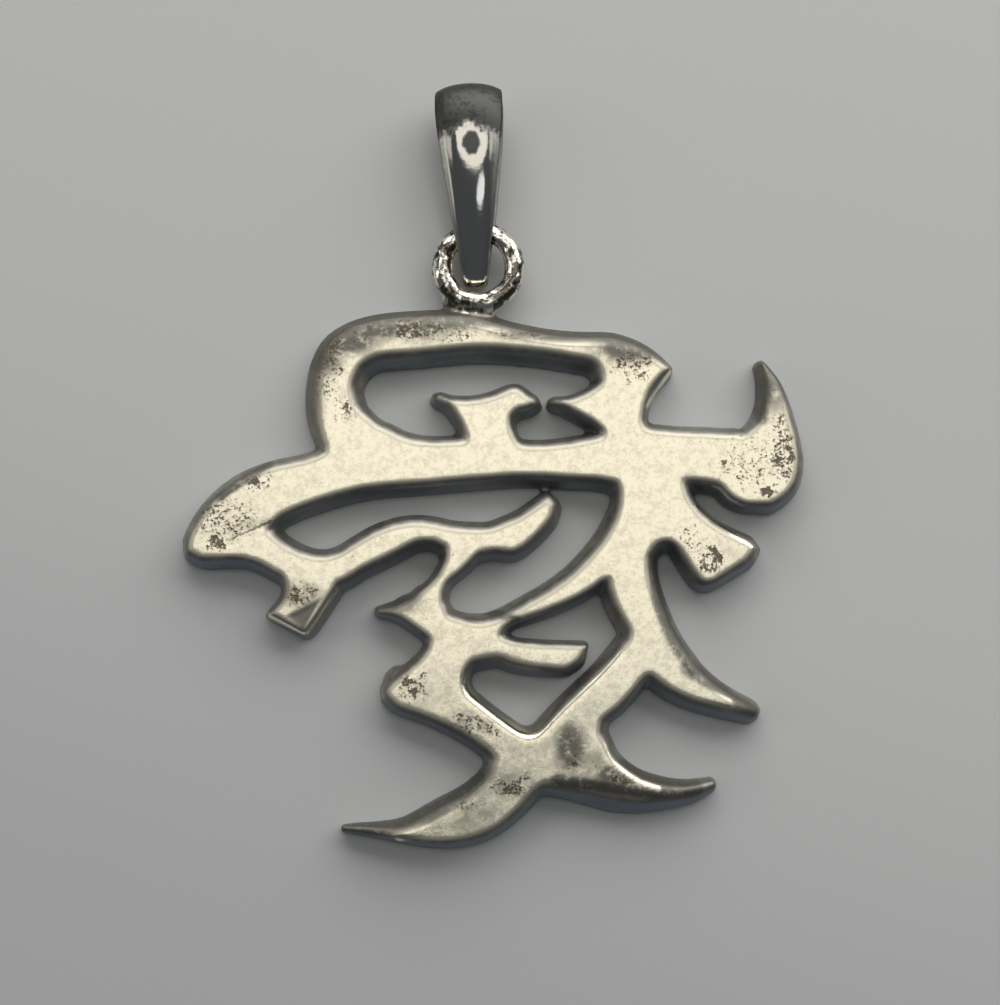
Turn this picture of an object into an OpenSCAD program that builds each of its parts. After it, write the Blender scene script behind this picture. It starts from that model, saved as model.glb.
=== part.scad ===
// Pierced silver pendant in the form of one brush-written Chinese character.
// It lies face up on its flat back: X to the right, Y up the character, Z up.
// The bail lies back along +Y with its narrow end through the soldered ring.
// All sizes are in millimetres.

/* [Character plate] */
// thickness of the plate from its flat back to its bright face
plate_thickness = 2.0; // [1:0.1:4]
// factor on how far the back outline reaches past the face outline
edge_run = 1.0; // [0.3:0.05:1.3]
// pieces that each gap between two table rows is cut into
row_steps = 2; // [1:1:6]
// depth of the crease between the two brush strokes at the left tip
crease_depth = 0.3; // [0.1:0.05:0.8]
// width of that crease at the face
crease_width = 0.26; // [0.1:0.02:0.8]

/* [Ring] */
// radius of the ring's wire centre line
ring_radius = 1.98; // [1:0.02:4]
// diameter of the ring's wire
ring_wire = 1.1; // [0.5:0.02:2]
// height of the wire's centre over the flat back
ring_height = 1.25; // [0.6:0.02:3]
// sides of the ring around its axis
ring_sides = 40; // [16:4:64]
// sides of the ring's wire
wire_sides = 14; // [8:2:24]

/* [Bail] */
// length of the bail from its narrow bend to its crown
bail_length = 11.15; // [6:0.05:18]
// width of the bail at its crown
bail_width = 3.7; // [2:0.05:6]
// width of the bail at its narrow bend
bail_neck = 1.3; // [0.5:0.05:2]
// thickness of the bail's strip along its middle
bail_gauge = 0.38; // [0.25:0.01:0.8]
// thickness of the strip at its two long edges
bail_edge = 0.28; // [0.1:0.01:0.6]
// how far the strip bows outward across the crown
bail_bow = 0.32; // [0:0.02:1]
// height of the bail's frame over the table
bail_lift = 0.0; // [0:0.01:1]
// roll of the lying bail about its length, in degrees
bail_roll = -2.5; // [-8:0.5:8]
// steps around the bail's loop
bail_steps = 44; // [16:2:80]

/* [Hidden] */
// centre of the ring on the character's grid
ring_at = [-0.76, 10.95];
// the part is moved so that the middle of its box stands on the origin
shift = [-0.126, -0.242, 0];
// run and rise of the rounded edge, as shares: foot, wall, shoulder, face
EDGE = [[1.00, 0.00], [0.88, 0.46], [0.44, 0.87], [0.00, 1.00]];
// share of an edge's run that is left where the face has sunk to the back
sunk_run = 0.4;
// how much a stroke's rounded end splays sideways, against 1 ahead
end_splay = 0.6;
// smallest facing for which an edge's outward side is told by its run
least_facing = 0.1;
// share of the crease's depth and width that is left at its two ends
crease_end = 0.3;
// rows over which the crease comes down to its full depth
crease_ramp = 2;
// how far the crease's cutter goes up, as a factor on its depth
crease_reach = 1.6;
// sides of the crease's cutter and of a ball of solder
cutter_sides = 6;
solder_sides = 10;
// middle of the solder, from the ring's lowest place on its centre line
solder_from_ring = [-0.15, 0.1];
// the bail's narrow bend on the character's grid, and its turn there in degrees
bail_from = [-0.85, 9.76];
bail_turn = 2.0;
// distance along the bail's table over which its direction is taken
bail_probe = 0.1;

// Brush strokes. Columns: [x, y of the face's first edge, x, y of its second edge, rise of the face].
// A row is one section across the stroke. A rise under 1 lets the stroke sink towards a tip.

// long roof stroke: up the left limb, over the top and down to the right corner
HOOD = [
    [ -8.3, -0.3,   -5.6,  0.8,  1],
    [ -8.75, 0.7,   -6.1,  1.95, 1],
    [ -9.05, 1.65,  -6.8,  2.6,  1],
    [ -9.25, 2.6,   -7.4,  3.15, 1],
    [ -9.3,  3.75,  -7.7,  4.05, 1],
    [ -9.15, 5.0,   -7.6,  4.8,  1],
    [ -8.8,  5.95,  -7.3,  5.4,  1],
    [ -8.3,  6.6,   -6.95, 5.75, 1],
    [ -7.5,  7.1,   -6.5,  6.0,  1],
    [ -6.6,  7.4,   -5.9,  6.15, 1],
    [ -5.4,  7.6,   -5.0,  6.22, 1],
    [ -4.0,  7.7,   -3.8,  6.32, 1],
    [ -2.5,  7.75,  -2.5,  6.47, 1],
    [ -1.0,  7.65,  -1.0,  6.6,  1],
    [  0.8,  7.15,   0.6,  6.57, 1],
    [  2.8,  6.75,   2.7,  6.38, 1],
    [  4.6,  6.6,    4.4,  6.1,  1],
    [  6.0,  6.6,    5.4,  5.9,  1],
    [  7.0,  6.5,    5.85, 5.5,  1],
    [  7.9,  6.25,   6.05, 5.0,  1],
    [  8.75, 5.8,    6.8,  4.2,  1],
    [  9.4,  5.33,   7.8,  3.8,  1]];

// short fall of the roof stroke at the right, down to the main stroke
HOOK = [
    [6.3, 6.2,   9.45, 5.35, 1],
    [6.05, 5.2,  8.9,  4.8,  1],
    [5.95, 4.6,  8.45, 4.2,  1],
    [5.8, 3.9,   8.18, 3.5,  1],
    [5.8, 3.0,   8.03, 2.8,  1],
    [6.0, 2.1,   8.1,  2.15, 1],
    [6.1, 1.4,   8.7,  1.8,  1],
    [6.2, 0.6,   9.4,  1.2,  1]];

// pointed flick that reaches into the upper opening from the right
BEAK = [
    [6.6,  4.6,   6.6,  1.9,  1],
    [5.95, 4.5,   6.05, 1.95, 1],
    [5.4,  4.07,  5.4,  2.5,  1],
    [4.8,  3.75,  4.7,  2.87, 1],
    [4.25, 3.57,  4.15, 3.18, 1],
    [3.75, 3.5,   3.72, 3.4,  1],
    [3.3,  3.58,  3.28, 3.5,  0.85]];

// broad main stroke from the left tip to the right blob
MAIN = [
    [-16.1, -4.05,  -16.15, -4.5,  1],
    [-15.9, -3.5,   -15.5, -4.85,  1],
    [-15.2, -2.35,  -14.4, -4.75,  1],
    [-14.2, -1.35,  -13.3, -4.3,   1],
    [-13.0, -0.6,   -12.3, -3.6,   1],
    [-11.5, -0.08,  -11.45, -2.65, 1],
    [-10.1,  0.2,   -10.0, -2.0,   1],
    [ -8.9,  0.7,    -8.6, -1.52,  1],
    [ -7.6,  1.9,    -7.2, -1.15,  1],
    [ -6.2,  2.1,    -6.0, -0.98,  1],
    [ -5.0,  1.53,   -4.8, -0.88,  1],
    [ -3.8,  1.22,   -3.6, -0.8,   1],
    [ -2.2,  1.2,    -2.0, -0.65,  1],
    [ -0.6,  1.3,    -0.4, -0.52,  1],
    [  1.4,  1.05,    1.3, -0.4,   1],
    [  2.7,  1.0,     2.8, -0.42,  1],
    [  4.2,  1.15,    4.2, -0.5,   1],
    [  5.6,  1.42,    5.7, -0.57,  1],
    [  7.0,  1.8,     7.0, -0.8,   1],
    [  8.7,  1.88,    8.8, -0.9,   1],
    [ 10.0,  1.75,   10.2, -0.62,  1],
    [ 11.4,  1.72,   11.3, -0.68,  1],
    [ 12.6,  1.66,   12.2, -0.85,  1],
    [ 13.3,  1.66,   13.0, -1.3,   1]];

// round right end of the main stroke with its upturned horn
BLOB = [
    [13.6,  -1.95,  14.9,  -1.95, 1],
    [12.85, -1.6,   15.5,  -1.6,  1],
    [12.35, -1.05,  16.0,  -1.1,  1],
    [11.9,  -0.5,   16.28, -0.5,  1],
    [12.0,   0.4,   16.38,  0.4,  1],
    [12.9,   1.25,  16.3,   1.2,  1],
    [13.75,  1.75,  16.12,  2.0,  1],
    [14.45,  2.45,  15.9,   2.8,  1],
    [14.78,  3.3,   15.72,  3.5,  1],
    [14.88,  4.0,   15.5,   4.2,  1],
    [14.86,  4.7,   15.2,   4.85, 0.97],
    [14.62,  5.7,   14.68,  5.7,  0.75]];

// waving stroke under the main stroke, from the left tip to a leaf point
WAVE = [
    [-16.1, -4.2,   -16.1, -4.6,  1],
    [-15.2, -3.9,   -15.0, -4.87, 1],
    [-14.0, -3.4,   -14.0, -4.83, 1],
    [-12.9, -3.15,  -13.2, -4.9,  1],
    [-12.1, -3.55,  -12.4, -5.15, 1],
    [-11.3, -4.2,   -11.6, -5.6,  1],
    [-10.4, -4.7,   -10.6, -6.0,  1],
    [ -9.3, -4.98,   -9.2, -6.2,  1],
    [ -8.3, -4.83,   -8.0, -6.05, 1],
    [ -7.4, -4.3,    -7.0, -5.42, 1],
    [ -6.3, -3.65,   -5.9, -4.9,  1],
    [ -5.2, -3.25,   -4.9, -4.38, 1],
    [ -4.2, -3.1,    -4.1, -3.97, 1],
    [ -3.2, -3.17,   -3.1, -3.95, 1],
    [ -2.2, -3.4,    -2.2, -4.4,  1],
    [ -1.2, -3.46,   -1.0, -4.6,  1],
    [ -0.2, -3.47,    0.1, -4.4,  1],
    [  0.7, -3.15,    1.1, -4.52, 1],
    [  1.5, -2.8,     2.0, -3.92, 1],
    [  2.2, -2.35,    2.7, -3.2,  1],
    [  2.75, -1.95,   3.1, -2.65, 1],
    [  3.05, -1.78,   3.22, -2.0, 1]];

// blunt foot that hangs from the left end of the waving stroke
FOOT = [
    [-11.5, -5.4,    -8.4, -5.5,  1],
    [-10.98, -6.2,   -8.4, -6.3,  1],
    [-11.0, -6.9,    -8.85, -7.1, 1],
    [-11.3, -7.4,    -9.35, -7.9, 1],
    [-11.75, -7.88, -10.0, -8.78, 1]];

// thin neck from the waving stroke down to the trunk
NECK = [
    [-2.4,  -3.8,   -0.4,  -4.2,  1],
    [-2.42, -4.8,   -1.3,  -5.2,  1],
    [-2.65, -5.4,   -1.9,  -5.75, 1],
    [-3.0,  -6.0,   -2.4,  -6.15, 1],
    [-3.45, -6.45,  -2.65, -6.7,  1],
    [-3.9,  -6.95,  -2.68, -7.4,  1],
    [-4.0,  -8.0,   -2.4,  -8.05, 1],
    [-3.6,  -8.9,   -1.7,  -8.45, 1]];

// spike that points left from the neck
UPPER_SPIKE = [
    [-2.5, -7.6,  -2.2, -9.6,  1],
    [-3.4, -6.5,  -3.3, -9.15, 1],
    [-4.0, -7.1,  -3.8, -8.8,  1],
    [-4.5, -7.5,  -4.3, -8.45, 1],
    [-5.0, -7.76, -4.9, -8.05, 1],
    [-5.5, -7.72, -5.5, -7.84, 0.92],
    [-6.05, -7.68, -6.05, -7.76, 0.78]];

// slanted stroke from the stem down to the neck
DIAGONAL = [
    [ 7.0, -2.2,   8.3, -5.2,  1],
    [ 6.4, -3.4,   6.9, -6.1,  1],
    [ 5.8, -4.3,   6.1, -5.92, 1],
    [ 5.1, -5.1,   5.5, -6.33, 1],
    [ 4.3, -5.9,   4.6, -6.9,  1],
    [ 3.3, -6.65,  3.5, -7.4,  1],
    [ 2.2, -7.3,   2.4, -7.83, 1],
    [ 1.2, -7.85,  1.35, -8.15, 1],
    [ 0.4, -8.25,  0.6, -8.55, 1],
    [-0.5, -8.5,   0.3, -9.1,  1],
    [-1.6, -8.45, -0.6, -9.8,  1]];

// mass under the neck, between the two left spikes
TRUNK = [
    [-4.0,  -8.2,   -2.3,  -8.1,  1],
    [-3.35, -9.1,   -0.9,  -8.5,  1],
    [-3.4,  -9.75,   0.4,  -8.9,  1],
    [-4.0,  -10.5,  -0.9,  -10.1, 1],
    [-4.6,  -11.05, -1.5,  -10.8, 1],
    [-4.6,  -12.2,  -1.62, -11.6, 1],
    [-3.6,  -12.8,  -1.4,  -12.2, 1]];

// lower side of the triangular opening, from the second left spike to the tails
SWEEP = [
    [-5.6, -11.95,  -5.55, -12.2,  1],
    [-5.0, -11.4,   -5.05, -12.7,  1],
    [-4.2, -10.75,  -4.2, -13.0,   1],
    [-3.2, -10.2,   -3.2, -13.35,  1],
    [-2.0, -11.6,   -2.1, -13.85,  1],
    [-1.3, -12.3,   -1.0, -14.45,  1],
    [-0.3, -13.1,   -0.1, -15.1,   1],
    [ 0.7, -13.85,   0.5, -15.9,   1],
    [ 1.6, -14.4,    1.5, -16.5,   1],
    [ 2.6, -14.5,    2.5, -16.7,   1]];

// lower right tail with its bay
RIGHT_TAIL = [
    [ 1.6, -14.4,    1.4, -16.3,   1],
    [ 2.6, -14.5,    2.5, -16.7,   1],
    [ 3.8, -14.2,    3.7, -16.75,  1],
    [ 5.2, -13.9,    4.8, -16.8,   1],
    [ 5.85, -14.6,   5.65, -16.85, 1],
    [ 6.2, -15.4,    6.4, -16.95,  1],
    [ 6.75, -16.05,  7.1, -17.1,   1],
    [ 7.5, -16.6,    7.8, -17.25,  1],
    [ 8.4, -16.98,   8.6, -17.35,  1],
    [ 9.4, -17.12,   9.5, -17.32,  0.97],
    [10.5, -17.08,  10.6, -17.25,  0.85],
    [11.8, -16.8,   11.85, -16.97, 0.68]];

// small lobe on the second left spike
SPUR = [
    [-5.5, -11.85,  -5.1, -12.1,  0.85],
    [-5.42, -11.3,  -4.6, -11.7,  0.8],
    [-5.05, -10.98, -4.2, -11.2,  0.75]];

// slanted arm from the stem down to the tails
ARM = [
    [ 7.7, -8.9,    9.4, -9.9,    1],
    [ 7.15, -9.5,   8.7, -10.75,  1],
    [ 6.4, -10.4,   8.05, -11.15, 1],
    [ 5.7, -11.15,  7.4, -11.95,  1],
    [ 4.9, -11.9,   6.6, -12.8,   1],
    [ 4.0, -12.75,  5.7, -13.5,   1],
    [ 3.2, -13.55,  5.6, -14.4,   1],
    [ 2.4, -14.35,  4.6, -16.0,   1],
    [ 1.2, -14.7,   2.9, -16.6,   1]];

// lower left tail, ending in a low thin tip
LEFT_TAIL = [
    [ 1.6, -14.4,   3.4, -16.4,   1],
    [ 0.6, -15.0,   2.75, -16.7,  1],
    [ 0.2, -15.7,   2.1, -17.2,   1],
    [ 0.03, -16.3,  1.5, -17.85,  1],
    [-0.4, -16.9,   0.8, -18.55,  1],
    [-0.95, -17.4,  0.0, -19.15,  1],
    [-1.6, -17.85, -1.1, -19.6,   1],
    [-2.5, -18.3,  -2.4, -19.8,   1],
    [-3.4, -18.8,  -3.4, -19.78,  1],
    [-4.3, -19.2,  -4.2, -19.7,   1],
    [-5.1, -19.35, -5.1, -19.6,   0.97],
    [-6.3, -19.2,  -6.3, -19.45,  0.8],
    [-8.0, -19.1,  -8.0, -19.26,  0.62]];

// stem from the main stroke down to the long right tail
STEM = [
    [ 6.6, -0.2,    10.3, -0.2,   1],
    [ 6.9, -1.3,    10.15, -0.95, 1],
    [ 6.85, -2.1,   10.3, -1.9,   1],
    [ 6.6, -3.0,     9.6, -3.4,   1],
    [ 6.3, -4.0,     8.7, -4.08,  1],
    [ 6.2, -5.0,     8.27, -4.8,  1],
    [ 6.3, -6.1,     8.27, -5.8,  1],
    [ 6.55, -7.1,    8.55, -6.9,  1],
    [ 6.9, -7.9,     8.9, -7.85,  1],
    [ 7.4, -8.8,     9.3, -8.8,   1],
    [ 7.4, -9.6,     9.85, -9.75, 1],
    [ 7.8, -10.5,   10.5, -10.65, 1],
    [ 8.6, -11.15,  10.8, -11.05, 1],
    [ 9.5, -11.82,  11.25, -11.5, 1],
    [10.6, -12.32,  11.75, -11.93, 1],
    [11.6, -12.6,   12.25, -12.27, 1],
    [12.6, -12.84,  12.85, -12.62, 0.98],
    [13.4, -13.03,  13.5, -12.9,  0.87],
    [14.0, -13.2,   14.05, -13.1, 0.7]];

// short blunt stroke to the right of the stem
FLICK = [
    [10.2, -0.85,   8.5, -4.15, 1],
    [10.45, -1.65,  9.0, -3.98, 1],
    [11.0, -2.45,   9.55, -3.98, 1],
    [11.7, -3.08,  10.05, -4.4, 1],
    [12.5, -3.58,  10.5, -5.1,  1],
    [13.4, -4.0,   10.9, -5.7,  1],
    [13.95, -4.37, 11.3, -6.15, 1],
    [13.5, -4.98,  11.85, -6.05, 1]];

// cap of the small stroke inside the upper opening
TEE_HEAD = [
    [-3.0,  3.78,  -3.0,  3.7,  0.82],
    [-2.3,  3.49,  -2.3,  3.4,  1],
    [-1.6,  3.45,  -1.85, 2.8,  1],
    [-0.8,  3.5,   -1.0,  2.5,  1],
    [ 0.2,  3.77,   0.0,  2.4,  1],
    [ 0.9,  4.08,   0.8,  2.6,  1],
    [ 1.35, 4.13,   1.2,  3.12, 1],
    [ 1.75, 3.8,    1.7,  3.22, 1],
    [ 2.2,  3.54,   2.2,  3.42, 1]];

// stalk of that small stroke
TEE_STEM = [
    [-2.05, 3.0,   0.92, 3.0,  1],
    [-1.7,  2.45,  0.9,  2.3,  1],
    [-1.42, 1.8,   1.05, 1.75, 1],
    [-1.3,  1.3,   1.4,  1.15, 1],
    [-1.5,  0.7,   2.0,  0.7,  1]];

// short bar that reaches into the lower opening from the left
SHORT = [
    [-1.0, -8.8,   -1.3, -10.3,  1],
    [ 0.4, -9.15,   0.2, -10.05, 1],
    [ 1.2, -9.42,   1.0, -10.35, 1],
    [ 2.2, -9.52,   2.1, -10.6,  1],
    [ 3.3, -9.58,   3.2, -10.72, 1],
    [ 4.3, -9.6,    4.0, -10.72, 1],
    [ 5.0, -9.62,   4.7, -10.2,  1]];

// crease between the main stroke and the wave stroke at the left tip
CREASE = [[-11.7, -2.85], [-12.2, -3.2], [-12.8, -3.45], [-13.4, -3.68], [-13.9, -3.98],
    [-14.45, -4.05], [-14.75, -3.9]];

// How far each stroke's edges slope out, evenly spaced from its first row to its last.
// Columns: [rows, runs of the first edge, runs of the second edge, run of both ends].
STROKES = [
    [HOOD,        [0.42, 0.9, 1.05, 1.05, 1.05, 1.0, 0.5], [0.45, 0.75, 0.8, 0.8, 0.85, 0.85, 0.5], 0.45],
    [HOOK,        [0.5, 0.5],   [0.5, 0.5],   0.5],
    [BEAK,        [0.5, 0.5],   [0.45, 0.45], 0.45],
    [MAIN,        [0.65, 0.65], [0.65, 0.65], 0.55],
    [BLOB,        [0.5, 0.5, 0.52, 0.4], [0.6, 0.6, 0.58, 0.35], 0.4],
    [WAVE,        [0.65, 0.65], [0.6, 0.6],   0.55],
    [FOOT,        [0.45, 0.4],  [0.55, 0.55], 0.55],
    [NECK,        [0.4, 0.4],   [0.4, 0.4],   0.4],
    [UPPER_SPIKE, [0.4, 0.4, 0.62, 0.78, 0.8, 0.6, 0.35], [0.45, 0.45], 0.45],
    [DIAGONAL,    [0.7, 0.7],   [0.5, 0.5],   0.5],
    [TRUNK,       [0.4, 0.4],   [0.55, 0.55], 0.4],
    [SWEEP,       [0.5, 0.55],  [0.6, 0.75],  0.5],
    [SPUR,        [0.5, 0.5],   [0.3, 0.3],   0.45],
    [RIGHT_TAIL,  [0.6, 0.6, 0.6, 0.62, 0.28],
        [0.85, 0.85, 1.05, 1.3, 1.5, 1.58, 1.52, 1.4, 1.18, 1.04, 0.95, 0.55], 0.3],
    [ARM,         [0.65, 0.6],  [0.6, 0.7],   0.55],
    [LEFT_TAIL,   [0.55, 0.6, 0.68, 0.75, 0.75, 0.58, 0.02], [0.75, 0.75, 0.65, 0.55, 0.38], 0.12],
    [STEM,        [0.5, 0.8],   [0.8, 0.75],  0.6],
    [FLICK,       [0.5, 0.7],   [0.5, 0.6],   0.6],
    [TEE_HEAD,    [0.6, 0.55],  [0.5, 0.5],   0.5],
    [TEE_STEM,    [0.45, 0.45], [0.45, 0.45], 0.45],
    [SHORT,       [0.35, 0.35], [0.8, 0.5],   0.35]];

// a smooth curve through rows p, q, r, s at share t between q and r
function blend(p, q, r, s, t) =
    0.5 * (2 * q + (r - p) * t + (2 * p - 5 * q + 4 * r - s) * t * t
    + (3 * q - p - 3 * r + s) * t * t * t);

// rows with row_steps smooth pieces in each gap
function smooth(rows) = let (last = len(rows) - 1) [
    for (i = [0 : last - 1], k = [0 : row_steps - 1])
        blend(rows[max(i - 1, 0)], rows[i], rows[i + 1], rows[min(i + 2, last)], k / row_steps),
    rows[last]];

function unit(v) = v / max(norm(v), 0.0001);
function first(row) = [row[0], row[1]];
function second(row) = [row[2], row[3]];

// outward direction of an edge, square to its run and away from the other edge
function outward(run, away) =
    let (side = unit([run[1], -run[0]]), facing = side * unit(away))
    abs(facing) < least_facing ? unit(away) : (facing > 0 ? side : -side);

// one section as points: each edge level of both sides
function section(row, out_a, out_b, run_a, run_b) =
    let (spread = sunk_run + (1 - sunk_run) * row[4], top = plate_thickness * row[4]) [
    for (e = EDGE) concat(first(row) + e[0] * run_a * spread * out_a, [e[1] * top]),
    for (e = EDGE) concat(second(row) + e[0] * run_b * spread * out_b, [e[1] * top])];

// convex block around a list of points
module wrap(points) {
    hull() polyhedron(points, [for (i = [0 : 3 : len(points) - 3]) [i, i + 1, i + 2],
        [len(points) - 3, len(points) - 2, len(points) - 1]]);
}

// value of a list of evenly spaced values at a share t of its length
function along(list, t) = let (s = t * (len(list) - 1), i = min(floor(s), len(list) - 2))
    list[i] + (list[i + 1] - list[i]) * (s - i);

module stroke(rows, runs_a, runs_b, run_end) {
    r = smooth(rows);
    n = len(r) - 1;
    outs = [for (i = [0 : n]) let (p = r[max(i - 1, 0)], q = r[min(i + 1, n)]) [
        outward(first(q) - first(p), first(r[i]) - second(r[i])),
        outward(second(q) - second(p), second(r[i]) - first(r[i]))]];
    sections = [for (i = [0 : n]) section(r[i], outs[i][0], outs[i][1],
        edge_run * along(runs_a, i / n), edge_run * along(runs_b, i / n))];
    for (i = [0 : n - 1]) wrap(concat(sections[i], sections[i + 1]));
    for (end = [0, 1]) {
        i = end * n;
        inner = end == 0 ? 1 : n - 1;
        ahead = unit(first(r[i]) + second(r[i]) - first(r[inner]) - second(r[inner]));
        cap = section(r[i], unit(outs[i][0] * end_splay + ahead), unit(outs[i][1] * end_splay + ahead),
            edge_run * run_end, edge_run * run_end);
        wrap(concat(sections[i], cap));
    }
}

// share of the crease's full size at its point k
function crease_share(k) =
    crease_end + (1 - crease_end) * min(k, len(CREASE) - 1 - k, crease_ramp) / crease_ramp;

module crease() {
    for (i = [0 : len(CREASE) - 2]) hull() for (k = [i, i + 1]) {
        depth = crease_depth * crease_share(k);
        translate([CREASE[k][0], CREASE[k][1], plate_thickness - depth])
            cylinder(d1 = 0, d2 = crease_width * crease_share(k) * crease_reach, h = depth * crease_reach,
                $fn = cutter_sides);
    }
}

module ring() {
    translate([ring_at[0], ring_at[1], ring_height]) rotate_extrude($fn = ring_sides)
        translate([ring_radius, 0]) circle(d = ring_wire, $fn = wire_sides);
}

// Balls of solder that tie the ring to the top edge of the plate.
// Columns: [place along X, place along Y, height over the back, diameter].
SOLDER = [
    [-1.5,  0.2,  0.8,  0.8],
    [-0.95, -0.95, 0.55, 0.9],
    [-0.9, -0.35, 0.95, 0.9],
    [ 0.0, -0.35, 1.0,  1.15],
    [ 0.75, -0.3, 0.95, 0.85],
    [ 0.5, -1.3,  0.5,  0.8],
    [ 0.0, -0.95, 0.8,  1.4]];

// pairs of those rows that one fillet joins
FILLETS = [[0, 1], [0, 2], [1, 2], [2, 3], [3, 4], [4, 5], [1, 6], [6, 5], [6, 3], [6, 2], [6, 4]];

module solder() {
    translate([ring_at[0] + solder_from_ring[0], ring_at[1] - ring_radius + solder_from_ring[1], 0])
        for (pair = FILLETS) hull() for (ball = [for (k = pair) SOLDER[k]])
            translate([ball[0], ball[1], ball[2]]) sphere(d = ball[3], $fn = solder_sides);
}

module character_plate() {
    color([0.82, 0.80, 0.75]) translate(shift) union() {
        difference() {
            union() for (s = STROKES) stroke(s[0], s[1], s[2], s[3]);
            crease();
        }
        ring();
        solder();
    }
}

// Bail: places on the strip's centre line, seen from the side, round the loop from its narrow bend.
// Columns: [share of the length towards the crown, height over the back, share of the width].
BAIL = [
    [0.032, 0.66, 0.00],
    [0.13, 0.24, 0.11],
    [0.30, 0.22, 0.41],
    [0.50, 0.24, 0.65],
    [0.72, 0.33, 0.90],
    [0.89, 0.66, 1.00],
    [0.97, 1.30, 0.96],
    [0.98, 2.20, 0.97],
    [0.93, 3.00, 0.99],
    [0.82, 3.42, 0.98],
    [0.66, 3.35, 0.85],
    [0.48, 3.02, 0.62],
    [0.30, 2.53, 0.41],
    [0.14, 1.92, 0.12],
    [0.05, 1.32, 0.05]];

function bail_row(s) = let (n = len(BAIL), i = floor(s), t = s - i)
    blend(BAIL[(i + n - 1) % n], BAIL[i % n], BAIL[(i + 1) % n], BAIL[(i + 2) % n], t);

// side view of the strip: place along Y, height, half width
function bail_at(s) = let (r = bail_row(s))
    [r[0] * bail_length, r[1], (bail_neck + (bail_width - bail_neck) * r[2]) / 2];

// Places across the strip. Columns: [share of the half width, thickness there].
ACROSS = [[-1, bail_edge], [-0.7, bail_gauge], [-0.35, bail_gauge], [0, bail_gauge], [0.35, bail_gauge],
    [0.7, bail_gauge], [1, bail_edge]];

// points around one section of the strip, bowed outward: over its outside and back along its inside
function bail_section(k) = let (
    count = len(BAIL), s = k * count / bail_steps, at = bail_at(s),
    before = bail_at(s + count - bail_probe), after = bail_at(s + bail_probe),
    run = unit([after[0] - before[0], after[1] - before[1]]), out = [run[1], -run[0]],
    bow = bail_bow * pow(2 * at[2] / bail_width, 2),
    inner = [for (p = ACROSS) let (lift = -bow * p[0] * p[0] - bail_gauge / 2)
        [p[0] * at[2], at[0] + out[0] * lift, at[1] + out[1] * lift]],
    outer = [for (j = [0 : len(ACROSS) - 1]) inner[j] + ACROSS[j][1] * [0, out[0], out[1]]],
    last = len(ACROSS) - 1)
    concat(outer, [for (j = [last : -1 : 0]) inner[j]]);

module bail() {
    around = 2 * len(ACROSS);
    points = [for (k = [0 : bail_steps - 1]) each bail_section(k)];
    faces = [for (k = [0 : bail_steps - 1], m = [0 : around - 1]) let (
        here = k * around, next = (k + 1) % bail_steps * around, beside = (m + 1) % around)
        each [[here + m, here + beside, next + beside], [here + m, next + beside, next + m]]];
    color([0.70, 0.71, 0.73]) translate(shift)
        translate([bail_from[0], bail_from[1], bail_lift]) rotate([0, bail_roll, bail_turn])
        polyhedron(points, faces);
}

character_plate();
bail();
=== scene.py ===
"""Looks of a cast silver pendant: a brush-written character with a soldered ring and a loop bail.

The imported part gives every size. The plate is a softened copy of its solid, the bail is shaped
anew over its own solid, and both get finishes made of nodes. Lengths named _mm are millimetres.
"""
import logging
import math
from collections.abc import Callable
from dataclasses import dataclass
from enum import Enum

import bpy
import numpy as np
from mathutils import Matrix, Vector


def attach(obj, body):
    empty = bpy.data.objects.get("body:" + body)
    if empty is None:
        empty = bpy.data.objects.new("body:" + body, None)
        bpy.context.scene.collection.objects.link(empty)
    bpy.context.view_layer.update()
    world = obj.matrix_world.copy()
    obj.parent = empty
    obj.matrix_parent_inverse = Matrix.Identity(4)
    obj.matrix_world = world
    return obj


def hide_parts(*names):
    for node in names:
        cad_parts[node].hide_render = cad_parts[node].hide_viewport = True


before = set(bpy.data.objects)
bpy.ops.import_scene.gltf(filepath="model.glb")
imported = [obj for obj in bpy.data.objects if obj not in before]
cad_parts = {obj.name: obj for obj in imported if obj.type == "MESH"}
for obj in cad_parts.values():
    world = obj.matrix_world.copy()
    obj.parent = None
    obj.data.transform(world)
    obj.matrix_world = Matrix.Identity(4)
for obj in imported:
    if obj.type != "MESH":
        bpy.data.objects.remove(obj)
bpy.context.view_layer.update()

MM = 0.001
# Step in millimetres from the character's own grid, on which the tables are written, to the frame.
SHIFT = (-0.126, -0.242, 0.0)

Colour = tuple[float, float, float]
Way = tuple[float, float, float]
# Where a mask starts at 0 and where it ends at 1.
Range = tuple[float, float]
# A noise: blots per millimetre, finer layers and, where it isn't the usual half, their strength.
Noise = tuple[float, ...]
# Weights of the fine noise, of the grain and of the blots in a sum.
Mix = tuple[float, float, float]
# Middle value of a noise.
MIDDLE = 0.5
Array = np.ndarray

log = logging.getLogger("pendant")


class Surface(Enum):
    """Names of the point attributes that the finishes read."""

    TILT = "tilt"
    DEEP = "deep"
    SUNK = "sunk"
    WORN = "worn"
    HOLLOW = "hollow"
    PITS = "pits"
    SPECKS = "specks"
    HAZE = "haze_and_shadow"
    RING = "ring"
    RIM = "rim"
    CROWN = "crown"
    SPOT = "spot"


class Outline(Enum):
    """Outlines of a light, under Blender's own names."""

    RECTANGLE = "RECTANGLE"
    ELLIPSE = "ELLIPSE"


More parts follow.
